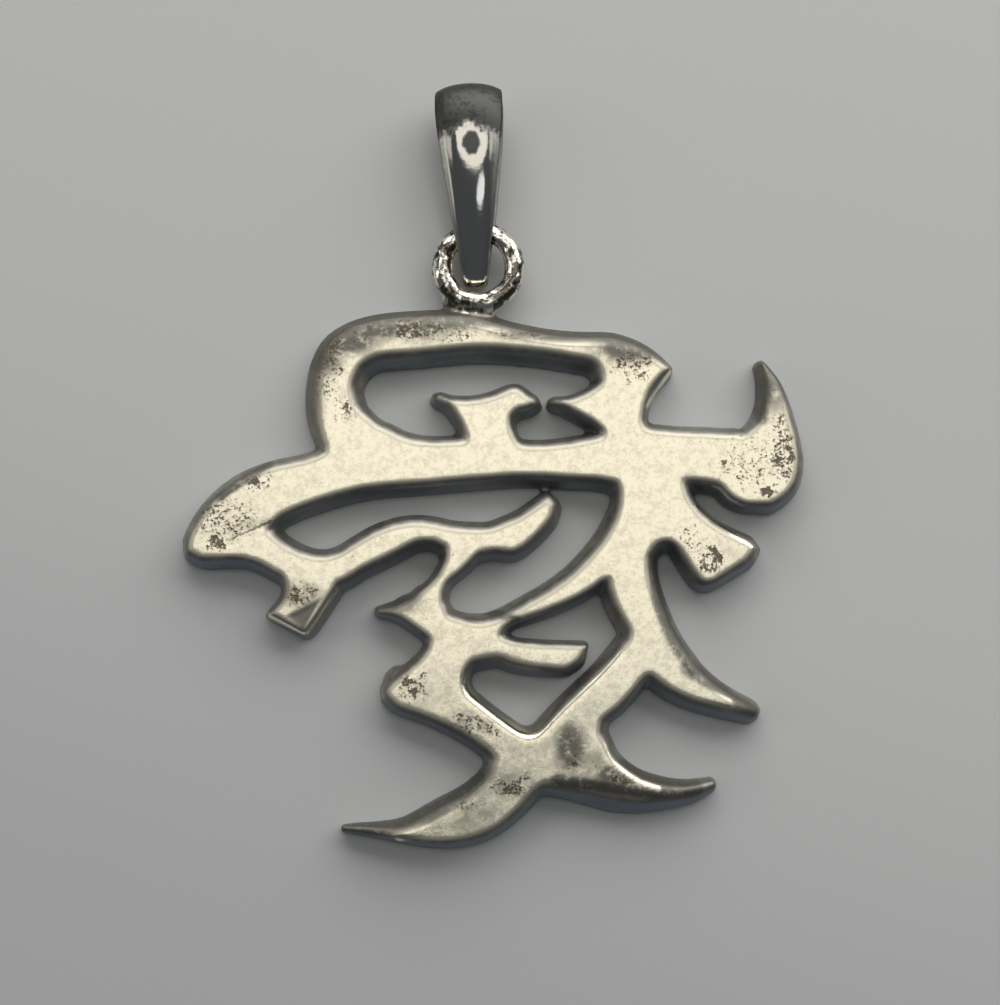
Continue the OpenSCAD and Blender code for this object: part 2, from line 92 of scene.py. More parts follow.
@dataclass(frozen=True)
class Signal:
    """A value socket of a shader, which sums and compares like a number."""

    shader: "Shader"
    socket: bpy.types.NodeSocket

    def _math(self, operation: str, left: "Signal | float", right: "Signal | float") -> "Signal":
        """Adds one Math node.

        Args:
            operation: Blender's name of the operation.
            left: first operand.
            right: second operand.

        Returns:
            The node's result.
        """
        node = self.shader.node("ShaderNodeMath", {"operation": operation}, {0: left, 1: right})
        return Signal(self.shader, node.outputs[0])

    def __add__(self, other: "Signal | float") -> "Signal":
        """Sum."""
        return self._math("ADD", self, other)

    def __radd__(self, other: float) -> "Signal":
        """Sum, reflected."""
        return self._math("ADD", other, self)

    def __sub__(self, other: "Signal | float") -> "Signal":
        """Difference."""
        return self._math("SUBTRACT", self, other)

    def __rsub__(self, other: float) -> "Signal":
        """Difference, reflected."""
        return self._math("SUBTRACT", other, self)

    def __mul__(self, other: "Signal | float") -> "Signal":
        """Product."""
        return self._math("MULTIPLY", self, other)

    def __rmul__(self, other: float) -> "Signal":
        """Product, reflected."""
        return self._math("MULTIPLY", other, self)

    def highest(self, other: "Signal | float") -> "Signal":
        """The larger of two values."""
        return self._math("MAXIMUM", self, other)

    def lowest(self, other: "Signal | float") -> "Signal":
        """The smaller of two values."""
        return self._math("MINIMUM", self, other)

    def step(self, start: float, end: float) -> "Signal":
        """Goes smoothly from 0 to 1 as the value goes from start to end.

        Args:
            start: value that gives 0.
            end: value that gives 1.

        Returns:
            The step, between 0 and 1.
        """
        settings = {"interpolation_type": "SMOOTHSTEP"}
        node = self.shader.node("ShaderNodeMapRange", settings, {0: self, 1: start, 2: end})
        return Signal(self.shader, node.outputs[0])


class Shader:
    """One material and the making of its nodes."""

    def __init__(self, name: str) -> None:
        """Starts an empty material.

        Args:
            name: the material's name.
        """
        self.material = bpy.data.materials.new(name)
        self.material.use_nodes = True
        self.tree = self.material.node_tree
        self.tree.nodes.clear()

    def node(self, kind: str, settings: dict, sockets: dict) -> bpy.types.Node:
        """Makes one node.

        Args:
            kind: Blender's type name of the node.
            settings: the node's own settings, which are set first.
            sockets: values or links of its input sockets, by name or number.

        Returns:
            The new node.
        """
        made = self.tree.nodes.new(kind)
        for name, value in settings.items():
            setattr(made, name, value)
        for key, value in sockets.items():
            if isinstance(value, Signal):
                self.tree.links.new(value.socket, made.inputs[key])
            else:
                made.inputs[key].default_value = value
        return made

    def place(self) -> Signal:
        """Place on the piece in millimetres.

        Returns:
            A vector signal.
        """
        found = self.node("ShaderNodeTexCoord", {}, {})
        sockets = {0: Signal(self, found.outputs["Object"]), "Scale": 1.0 / MM}
        made = self.node("ShaderNodeVectorMath", {"operation": "SCALE"}, sockets)
        return Signal(self, made.outputs[0])

    def noise(self, place: Signal, per_mm: float, detail: float, roughness: float = 0.5) -> Signal:
        """Cloudy noise of about 0 to 1.

        Args:
            place: where it is read, in millimetres.
            per_mm: how many blots fit in a millimetre.
            detail: how many finer layers it has.
            roughness: how strong the finer layers are.

        Returns:
            The noise.
        """
        sockets = {"Vector": place, "Scale": per_mm, "Detail": detail, "Roughness": roughness}
        return Signal(self, self.node("ShaderNodeTexNoise", {}, sockets).outputs[0])

    def along(self, place: Signal, way: Way) -> Signal:
        """How far a place lies along a way.

        Args:
            place: the place, in millimetres.
            way: steps along X, Y and Z.

        Returns:
            The place's product with the way.
        """
        made = self.node("ShaderNodeVectorMath", {"operation": "DOT_PRODUCT"}, {0: place, 1: way})
        return Signal(self, made.outputs["Value"])

    def attribute(self, surface: Surface) -> Signal:
        """A point attribute of the mesh.

        Args:
            surface: which attribute.

        Returns:
            Its value.
        """
        node = self.node("ShaderNodeAttribute", {"attribute_name": surface.value}, {})
        return Signal(self, node.outputs["Fac"])

    def blend(self, share: Signal, low: "Signal | Colour", high: "Signal | Colour") -> Signal:
        """A colour between two colours.

        Args:
            share: 0 for the low colour and 1 for the high one.
            low: first colour.
            high: second colour.

        Returns:
            The colour.
        """
        ends = [end if isinstance(end, Signal) else (*end, 1.0) for end in (low, high)]
        settings = {"data_type": "RGBA", "clamp_factor": True}
        node = self.node("ShaderNodeMix", settings, {0: share, 6: ends[0], 7: ends[1]})
        return Signal(self, node.outputs[2])

    def relief(self, height: Signal, depth_mm: float) -> Signal:
        """A normal that is tilted by a height.

        Args:
            height: height as a share of the depth.
            depth_mm: depth of the relief in millimetres.

        Returns:
            The normal.
        """
        sockets = {"Height": height, "Strength": 1.0, "Distance": depth_mm * MM}
        return Signal(self, self.node("ShaderNodeBump", {}, sockets).outputs[0])

    def finish(self, sockets: dict) -> bpy.types.Material:
        """Ends the material in a Principled shader.

        Args:
            sockets: values or links of the shader's sockets, by name.

        Returns:
            The material.
        """
        surface = self.node("ShaderNodeBsdfPrincipled", {}, sockets)
        self.node("ShaderNodeOutputMaterial", {}, {0: Signal(self, surface.outputs[0])})
        return self.material


@dataclass(frozen=True)
class CastSilver:
    """Finish of the plate: a worn bright face, tarnished in its pits and on its steep sides; the steep
    walls are darker towards their foot and carry painted shade where they face south, and the slope beside
    the stem carries a painted shadow.
    """

    bright: Colour = (0.97, 0.905, 0.70)
    mellow: Colour = (0.70, 0.625, 0.475)
    solder: Colour = (0.95, 0.93, 0.84)
    haze_and_shadow: Colour = (0.19, 0.18, 0.152)
    slope: Colour = (0.29, 0.278, 0.245)
    worn_slope: Colour = (0.44, 0.418, 0.36)
    oxide_and_shade: Colour = (0.20, 0.226, 0.265)
    speck: Colour = (0.12, 0.098, 0.072)
    stain: Colour = (0.26, 0.215, 0.155)
    fine_noise: Noise = (6.5, 2.0)
    grain_noise: Noise = (4.2, 3.0, 0.6)
    blot_noise: Noise = (1.5, 3.0)
    skin_mix: Mix = (0.5, 0.5, 0.0)
    cloud_mix: Mix = (0.4, 0.6, 1.0)
    tone_mix: Mix = (0.15, 0.5, 0.35)
    ring_mix: Mix = (0.0, 0.2, 0.8)
    relief_mix: Mix = (0.1, 0.3, 0.8)
    stain_range: Range = (0.625, 0.72)
    speck_range: Range = (0.68, 0.775)
    cloud_range: Range = (0.5, 1.07)
    shoulder_range: Range = (0.002, 0.07)
    slope_range: Range = (0.015, 0.2)
    worn_slope_range: Range = (0.3, 0.75)
    tone_range: Range = (0.44, 0.6)
    ring_range: Range = (0.48, 0.54)
    patch_pull: float = 0.21
    pit_pull: float = 0.12
    sunk_haze: float = 0.3
    hollow_haze: float = 0.8
    hollow_tarnish: float = 0.9
    face_mellow: float = 0.6
    shoulder_mellow: float = 0.8
    ring_solder: float = 0.7
    stain_strength: float = 0.55
    speck_strength: float = 0.85
    ring_speck_strength: float = 0.92
    face_roughness: float = 0.23
    slope_roughness: float = 0.5
    tarnish_matt: float = 0.5
    most_matt: float = 1.2
    ring_polish: float = 0.1
    relief_mm: float = 0.012
    speck_depth: float = 0.8
    ring_relief: float = 1.5
    crease_start: tuple[float, float] = (-12.09, -3.26)
    crease_end: tuple[float, float] = (-14.33, -4.27)
    crease_waver_mm: float = 0.3
    crease_edge_mm: Range = (0.02, 0.09)
    crease_top_mm: Range = (1.0, 1.5)
    crease_run_in_mm: float = 0.5
    crease_full_share: float = 0.8
    crease_run_out_mm: float = 0.2
    crease_strength: float = 0.8

    def _crease(self, shader: Shader, place: Signal, waver: Signal) -> Signal:
        """The thin dark line of the crease between the two strokes at the left tip.

        Args:
            shader: the finish in the making.
            place: place in millimetres.
            waver: noise that bends the line a little.

        Returns:
            1 on the line, falling to 0 beside it and past its ends.
        """
        start = Vector(self.crease_start)
        run = Vector(self.crease_end) - start
        way = run.normalized()
        across = Vector((-way.y, way.x))
        along = shader.along(place, (way.x, way.y, 0.0)) - start.dot(way)
        beside = shader.along(place, (across.x, across.y, 0.0)) - start.dot(across)
        beside = beside + (waver - MIDDLE) * self.crease_waver_mm
        near = 1.0 - beside.highest(beside * -1.0).step(*self.crease_edge_mm)
        upper = shader.along(place, (0.0, 0.0, 1.0)).step(*self.crease_top_mm)
        begun = along.step(-self.crease_run_in_mm, 0.0)
        ended = along.step(run.length * self.crease_full_share, run.length + self.crease_run_out_mm)
        return near * upper * begun * (1.0 - ended)

    def material(self) -> bpy.types.Material:
        """Makes the finish.

        Returns:
            The material.
        """
        shader = Shader("cast_silver")
        place = shader.place()
        tilt, deep, sunk, worn, hollow, ring, pits, patches, haze_and_shadow = map(shader.attribute, (
            Surface.TILT, Surface.DEEP, Surface.SUNK, Surface.WORN, Surface.HOLLOW, Surface.RING,
            Surface.PITS, Surface.SPECKS, Surface.HAZE,
        ))
        fine = shader.noise(place, *self.fine_noise)
        grain = shader.noise(place, *self.grain_noise)
        blots = shader.noise(place, *self.blot_noise)

        def mixed(weights: Mix) -> Signal:
            """The three noises, summed by weight."""
            return fine * weights[0] + grain * weights[1] + blots * weights[2]

        # Where the tarnish stands. A worn edge is rubbed free of it.
        dull = 1.0 - worn
        plate = 1.0 - ring
        eaten = mixed(self.skin_mix) + patches * self.patch_pull + pits * self.pit_pull
        stained = eaten.step(*self.stain_range)
        spotted = eaten.step(*self.speck_range)
        clouded_and_shadowed = (haze_and_shadow + sunk * self.sunk_haze) * mixed(self.cloud_mix).step(*self.cloud_range)
        hazed_and_shadowed = clouded_and_shadowed.highest(hollow * self.hollow_haze) * plate
        shoulder = tilt.step(*self.shoulder_range) * dull
        tarnished = tilt.step(*self.slope_range).highest(hollow * self.hollow_tarnish) * dull
        ring_spots = ring * mixed(self.ring_mix).step(*self.ring_range)
        specks = (spotted * dull * self.speck_strength).highest(ring_spots * self.ring_speck_strength)

        # Colour, from the bare metal to the darkest specks.
        toned = mixed(self.tone_mix).step(*self.tone_range) * self.face_mellow
        colour = shader.blend(toned.highest(shoulder * self.shoulder_mellow), self.bright, self.mellow)
        colour = shader.blend(ring * self.ring_solder, colour, self.solder)
        side = shader.blend(blots.step(*self.worn_slope_range), self.slope, self.worn_slope)
        colour = shader.blend(tarnished * plate, colour, side)
        # Grey haze, which also paints the soft shadow on the slope right of the stem.
        colour = shader.blend(hazed_and_shadowed.lowest(1.0) * dull, colour, self.haze_and_shadow)
        # Oxide on the steep walls, darker towards their foot, with painted shade on the walls that face
        # south, away from the lights.
        colour = shader.blend(deep * plate * dull, colour, self.oxide_and_shade)
        colour = shader.blend(stained * dull * self.stain_strength, colour, self.stain)
        colour = shader.blend(specks, colour, self.speck)
        crease = self._crease(shader, place, fine) * self.crease_strength
        colour = shader.blend(crease, colour, self.speck)

        # Gloss and fine relief.
        matt = tarnished.highest(shoulder) + (clouded_and_shadowed + spotted) * self.tarnish_matt
        spread = self.slope_roughness - self.face_roughness
        roughness = self.face_roughness + matt.lowest(self.most_matt) * spread - ring * self.ring_polish
        height = mixed(self.relief_mix) - spotted * self.speck_depth + ring * grain * self.ring_relief
        return shader.finish({
            "Base Color": colour,
            "Metallic": 1.0,
            "Roughness": roughness,
            "Normal": shader.relief(height, self.relief_mm),
        })


@dataclass(frozen=True)
class MirrorSilver:
    """Finish of the bail: mirror-polished, with a dull rim, a dull spot painted dark as the dark middle of
    a reflection, and a tarnished crown.
    """

    bright: Colour = (0.69, 0.66, 0.58)
    dull: Colour = (0.26, 0.26, 0.25)
    tarnish_and_dark_reflection: Colour = (0.088, 0.086, 0.083)
    dark: Colour = (0.035, 0.033, 0.03)
    grain_noise: Noise = (4.0, 3.0, 0.6)
    cloud_noise: Noise = (1.3, 2.0)
    crown_clouds: float = 0.5
    crown_grain: float = 0.6
    crown_range: Range = (0.9, 1.21)
    spot_grain: float = 0.4
    spot_range: Range = (0.4, 0.85)
    rim_grain: float = 0.7
    rim_least: float = 0.45
    speck_grain: float = 0.6
    speck_clouds: float = 0.4
    speck_crown: float = 0.3
    speck_range: Range = (0.8, 0.92)
    speck_strength: float = 0.6
    polish: float = 0.075
    dullness: float = 0.38
    spot_dullness: float = 0.5
    relief_mm: float = 0.004
    relief_grain: float = 0.5

    def material(self) -> bpy.types.Material:
        """Makes the finish.

        Returns:
            The material.
        """
        shader = Shader("mirror_silver")
        place = shader.place()
        rim = shader.attribute(Surface.RIM)
        crown = shader.attribute(Surface.CROWN)
        spot = shader.attribute(Surface.SPOT)
        grain = shader.noise(place, *self.grain_noise)
        clouds = shader.noise(place, *self.cloud_noise)
        tired = (crown + clouds * self.crown_clouds + grain * self.crown_grain).step(*self.crown_range)
        # The spot is a painted reflection: the dark middle of a reflected light, painted dark and made
        # duller.
        painted_dark_reflection = (spot + grain * self.spot_grain).step(*self.spot_range)
        rubbed = rim * (grain * self.rim_grain + self.rim_least)
        eaten = grain * self.speck_grain + clouds * self.speck_clouds + tired * self.speck_crown
        colour = shader.blend(rubbed, self.bright, self.dull)
        colour = shader.blend(tired.highest(painted_dark_reflection), colour, self.tarnish_and_dark_reflection)
        colour = shader.blend(eaten.step(*self.speck_range) * self.speck_strength, colour, self.dark)
        matt = rubbed.highest(tired).highest(painted_dark_reflection * self.spot_dullness)
        return shader.finish({
            "Base Color": colour,
            "Metallic": 1.0,
            "Roughness": self.polish + matt * self.dullness,
            "Normal": shader.relief(grain * self.relief_grain + clouds, self.relief_mm),
        })


@dataclass(frozen=True)
class PaleFloor:
    """Finish of the floor: matt pale card with painted shade that darkens it a little towards the near
    left.
    """

    pale: Colour = (0.605, 0.608, 0.583)
    shaded: Colour = (0.525, 0.528, 0.512)
    shaded_way: Way = (-0.35, -1.0, 0.0)
    shaded_range: Range = (0.0, 32.0)
    fibre_noise: Noise = (3.0, 3.0)
    fibre_strength: float = 0.2
    roughness: float = 0.85
    gloss: float = 0.2

    def material(self) -> bpy.types.Material:
        """Makes the finish.

        Returns:
            The material.
        """
        shader = Shader("pale_card")
        place = shader.place()
        fibres = (shader.noise(place, *self.fibre_noise) - MIDDLE) * self.fibre_strength
        # Painted shade: the card darkens towards the near left.
        shade = shader.along(place, self.shaded_way).step(*self.shaded_range) + fibres
        return shader.finish({
            "Base Color": shader.blend(shade, self.pale, self.shaded),
            "Roughness": self.roughness,
            "Specular IOR Level": self.gloss,
        })


class Work:
    """Selecting, modifying and painting of one mesh, in Blender's own operators."""

    def __init__(self, piece: bpy.types.Object) -> None:
        """Keeps the piece.

        Args:
            piece: the mesh object to work on.
        """
        self.piece = piece

    def select(self) -> None:
        """Selects this piece alone and makes it active."""
        bpy.ops.object.select_all(action="DESELECT")
        self.piece.select_set(True)
        bpy.context.view_layer.objects.active = self.piece

    def edit_all(self, *steps: Callable[[], object]) -> None:
        """Runs edit-mode steps on the whole mesh.

        Args:
            steps: functions without arguments.
        """
        self.select()
        bpy.ops.object.mode_set(mode="EDIT")
        bpy.ops.mesh.select_all(action="SELECT")
        for step in steps:
            step()
        bpy.ops.object.mode_set(mode="OBJECT")

    def modify(self, kind: str, **settings: object) -> None:
        """Adds a modifier and applies it.

        Args:
            kind: Blender's type name of the modifier.
            settings: the modifier's settings.
        """
        self.select()
        modifier = self.piece.modifiers.new(kind.lower(), kind)
        for name, value in settings.items():
            setattr(modifier, name, value)
        bpy.ops.object.modifier_apply(modifier=modifier.name)

    def places(self) -> Array:
        """Reads the places of the mesh's points.

        Returns:
            One row for each point.
        """
        flat = np.empty(len(self.piece.data.vertices) * 3)
        self.piece.data.vertices.foreach_get("co", flat)
        return flat.reshape(-1, 3)

    def put(self, places: Array) -> None:
        """Moves the mesh's points.

        Args:
            places: one row for each point.
        """
        self.piece.data.vertices.foreach_set("co", places.ravel())
        self.piece.data.update()

    def normals(self) -> Array:
        """Reads the outward normals of the mesh's points.

        Returns:
            One row for each point.
        """
        flat = np.empty(len(self.piece.data.vertices) * 3)
        self.piece.data.vertex_normals.foreach_get("vector", flat)
        return flat.reshape(-1, 3)

    def averaged(self, values: Array, rounds: int) -> Array:
        """Each point's value, averaged with its neighbours.

        Args:
            values: one value, or one row, for each point.
            rounds: how many times.

        Returns:
            The averaged values.
        """
        pairs = np.empty(len(self.piece.data.edges) * 2, np.int32)
        self.piece.data.edges.foreach_get("vertices", pairs)
        one, two = pairs.reshape(-1, 2).T
        count = len(values)
        shares = np.bincount(one, minlength=count) + np.bincount(two, minlength=count)
        table = values.reshape(count, -1)
        for _ in range(rounds):
            sums = [
                np.bincount(one, column[two], count) + np.bincount(two, column[one], count)
                for column in table.T
            ]
            table = np.stack(sums, 1) / np.maximum(shares, 1)[:, None]
        return table.reshape(values.shape)

    def paint(self, surface: Surface, values: Array) -> None:
        """Writes a point attribute.

        Args:
            surface: which attribute.
            values: one value from 0 to 1 for each point.
        """
        made = self.piece.data.attributes.new(surface.value, "FLOAT", "POINT")
        made.data.foreach_set("value", np.clip(values, 0.0, 1.0).astype(np.float32))

    def dress(self, material: bpy.types.Material) -> None:
        """Gives the whole piece one finish.

        Args:
            material: the finish.
        """
        self.piece.data.materials.clear()
        self.piece.data.materials.append(material)
        self.piece.data.shade_smooth()


def smooth_step(values: Array, start: float, end: float) -> Array:
    """Goes smoothly from 0 to 1 as values go from start to end.

    Args:
        values: the values.
        start: value that gives 0.
        end: value that gives 1.

    Returns:
        The steps, between 0 and 1.
    """
    share = np.clip((values - start) / (end - start), 0.0, 1.0)
    return share * share * (3.0 - 2.0 * share)


# Single tarnish pits, on the character's grid. Columns: [x, y, radius], in millimetres.
PITS = [
    [-8.4, 6.6, 0.34], [-8.8, 6.2, 0.24], [-6.6, 7.5, 0.2], [-4.9, 7.6, 0.3], [-4.9, 7.15, 0.3],
    [-4.2, 7.6, 0.3], [-4.2, 7.1, 0.28], [-3.0, 7.4, 0.36], [-3.2, 6.7, 0.2], [-1.3, 7.0, 0.22],
    [-8.7, 5.6, 0.22], [-8.1, 5.2, 0.2], [-7.8, 3.2, 0.24], [-8.3, 3.7, 0.18], [-8.4, 2.7, 0.18],
    [-12.7, -0.85, 0.34], [-11.9, -0.4, 0.22], [-14.9, -2.3, 0.32], [-15.3, -3.3, 0.2], [-14.8, -3.9, 0.34],
    [-14.4, -4.3, 0.32], [-12.7, -4.45, 0.2], [-11.8, -2.7, 0.2], [-7.4, -4.8, 0.2], [-5.8, -4.1, 0.2],
    [-2.05, -4.8, 0.26], [0.5, 7.2, 0.2], [2.2, 7.1, 0.2], [6.9, 5.6, 0.34], [7.8, 5.5, 0.22],
    [8.4, 5.8, 0.34], [8.1, 5.0, 0.2], [7.4, 4.6, 0.18], [7.4, 3.5, 0.2], [15.5, 2.55, 0.34],
    [15.9, 1.5, 0.24], [15.9, 1.0, 0.22], [16.1, 0.45, 0.28], [15.3, 0.4, 0.32], [15.8, -0.4, 0.34],
    [14.7, -1.4, 0.38], [14.4, -0.3, 0.2], [13.2, -0.6, 0.2], [12.4, 0.2, 0.22], [13.7, 1.4, 0.18],
    [14.6, 3.6, 0.2], [14.6, 4.7, 0.22], [10.5, -4.4, 0.22], [11.9, -4.5, 0.26], [12.1, -4.9, 0.28],
    [11.3, -5.4, 0.34], [11.85, -5.5, 0.34], [-10.5, -6.6, 0.22], [-9.55, -6.6, 0.2], [-10.4, -7.1, 0.24],
    [-4.6, -11.5, 0.34], [-4.2, -12.0, 0.24], [-3.6, -11.1, 0.2], [-1.7, -13.3, 0.22], [-0.1, -14.1, 0.26],
    [0.3, -14.3, 0.3], [4.3, -15.8, 0.22], [5.4, -16.0, 0.2], [1.8, -16.4, 0.34], [0.2, -16.7, 0.2],
    [0.8, -17.2, 0.26], [1.3, -17.2, 0.26], [6.5, -16.6, 0.26], [9.9, -16.9, 0.2]]

# Finely speckled patches. Columns: [x, y, half width, half height, strength], in millimetres.
SPECKLES = [
    [-9.0, 5.2, 1.0, 2.2, 0.66],
    [-8.5, 6.5, 0.7, 0.6, 0.78],
    [-4.2, 7.4, 1.5, 0.7, 0.86],
    [-2.0, 7.2, 1.1, 0.6, 0.76],
    [-6.5, 7.6, 1.4, 0.5, 0.66],
    [-7.7, 7.1, 1.1, 0.7, 0.7],
    [-7.9, 3.1, 0.7, 0.7, 0.72],
    [2.0, 7.2, 2.6, 0.4, 0.66],
    [7.6, 5.5, 1.3, 1.1, 0.76],
    [-14.2, -2.8, 1.9, 1.3, 0.72],
    [-14.7, -4.1, 0.7, 0.5, 0.86],
    [-12.6, -0.9, 1.0, 0.5, 0.72],
    [13.9, 0.2, 2.0, 1.8, 0.56],
    [15.6, 0.9, 0.8, 1.9, 0.86],
    [14.8, -1.3, 0.7, 0.5, 0.8],
    [11.6, -4.9, 0.9, 0.9, 0.84],
    [10.6, -3.8, 0.9, 0.9, 0.6],
    [-10.2, -6.9, 1.1, 0.7, 0.76],
    [-4.3, -11.7, 0.9, 0.9, 0.74],
    [-1.0, -13.7, 1.6, 0.7, 0.76],
    [4.2, -15.2, 0.8, 1.2, 0.6],
    [0.9, -17.0, 1.4, 0.7, 0.8],
    [7.0, -16.7, 1.6, 0.4, 0.72],
    [-5.2, -7.2, 0.8, 0.4, 0.66],
    [-1.3, -18.0, 0.7, 0.5, 0.74]]

# Grey haze on the face. Columns as above.
HAZES = [
    [-9.7, 4.0, 0.7, 2.2, 0.6],
    [-9.2, 6.0, 1.2, 1.2, 1.1],
    [-7.7, 6.9, 1.6, 0.9, 1.2],
    [-6.0, 7.6, 1.3, 0.8, 1.2],
    [-4.5, 8.1, 4.8, 0.85, 1.3],
    [-3.6, 7.4, 1.8, 0.8, 0.6],
    [7.4, 6.4, 2.0, 0.8, 1.1],
    [3.6, 7.2, 3.4, 0.45, 1.1],
    [15.0, 4.6, 0.9, 1.6, 0.9],
    [-14.0, -2.7, 2.0, 1.2, 0.1],
    [-10.2, -6.9, 1.2, 0.8, 0.6],
    [-1.2, -18.4, 1.6, 1.0, 0.5],
    [2.0, -15.6, 1.6, 2.0, 0.2],
    [-3.4, -12.3, 1.6, 1.2, 0.12],
    [5.6, -12.8, 1.3, 1.3, 0.12],
    [12.4, -4.6, 1.0, 0.8, 0.1],
    [4.1, -14.9, 0.9, 1.5, 1.05],
    [5.2, -15.8, 1.6, 0.8, 0.55],
    [0.6, -16.8, 2.0, 0.9, 0.6],
    [-1.0, -13.6, 1.6, 0.6, 0.5],
    [-3.0, -17.2, 2.8, 0.6, 0.9],
    [-5.8, -18.2, 2.2, 0.6, 1.4],
    [8.0, -16.8, 2.8, 0.9, 1.2],
    [6.9, -16.4, 1.5, 0.8, 1.4],
    [-5.0, -7.3, 1.2, 0.6, 0.8],
    [-0.6, 8.75, 1.2, 0.5, 1.2]]

# Grey haze along the wide slopes, and a painted soft shadow on the slope right of the stem: the two rows
# from (8.6, -4.8) to (9.3, -8.6). Columns: [start x, start y, end x, end y, half width].
SHADES = [
    [-7.9, 6.95, -4.6, 7.95, 0.42],
    [-4.6, 7.95, -0.4, 8.05, 0.48],
    [-0.4, 8.05, 3.0, 7.55, 0.38],
    [3.0, 7.55, 6.4, 7.05, 0.38],
    [6.4, 7.05, 8.5, 6.25, 0.4],
    [-7.6, -19.35, -4.9, -18.9, 0.42],
    [-4.9, -18.9, -3.3, -18.4, 0.42],
    [-3.3, -18.4, -1.7, -17.55, 0.4],
    [-1.7, -17.55, -0.7, -16.6, 0.36],
    [3.4, -16.65, 6.2, -17.05, 0.36],
    [6.2, -17.05, 8.2, -17.3, 0.34],
    [8.3, -17.35, 10.8, -17.15, 0.4],
    [8.6, -4.8, 8.8, -7.0, 0.3],
    [8.8, -7.0, 9.3, -8.6, 0.3],
    [9.3, -8.6, 10.5, -10.7, 0.32],
    [10.5, -10.7, 12.4, -12.15, 0.42],
    [12.4, -12.15, 13.9, -13.05, 0.3],
    [14.5, 5.4, 14.5, 2.6, 0.28],
    [1.3, -8.2, -1.2, -7.4, 0.2],
    [-6.0, -3.1, -9.4, -3.55, 0.22],
    [-12.0, 0.15, -14.6, -1.7, 0.22]]

# Worn bright edges. Columns: [start x, start y, end x, end y, half width], in millimetres.
RIMS = [
    [-1.85, -10.9, -1.57, -11.7, 0.18],
    [-1.57, -11.7, -0.8, -12.85, 0.27],
    [-0.8, -12.85, 0.67, -13.8, 0.28],
    [0.67, -13.8, 2.2, -14.65, 0.28],
    [2.2, -14.65, 4.4, -12.7, 0.28],
    [4.4, -12.7, 5.9, -11.1, 0.25],
    [5.9, -11.1, 6.9, -10.0, 0.16],
    [5.85, -14.9, 6.2, -15.7, 0.16],
    [6.2, -15.65, 7.8, -16.76, 0.14],
    [7.8, -16.76, 8.8, -17.1, 0.13],
    [-8.4, -6.6, -9.9, -8.8, 0.14],
    [-11.85, -8.0, -10.05, -8.85, 0.12],
    [-4.9, -19.65, -3.3, -19.2, 0.2],
    [-3.3, -19.2, -1.7, -18.4, 0.18],
    [10.4, -11.7, 12.5, -12.6, 0.24],
    [10.95, -2.1, 13.95, -4.4, 0.1],
    [8.3, 3.3, 9.6, 5.2, 0.1]]

# Narrow end of the crease at the left tip. Columns as above.
CREASES = [
    [-12.6, -3.3, -14.1, -4.0, 0.45]]


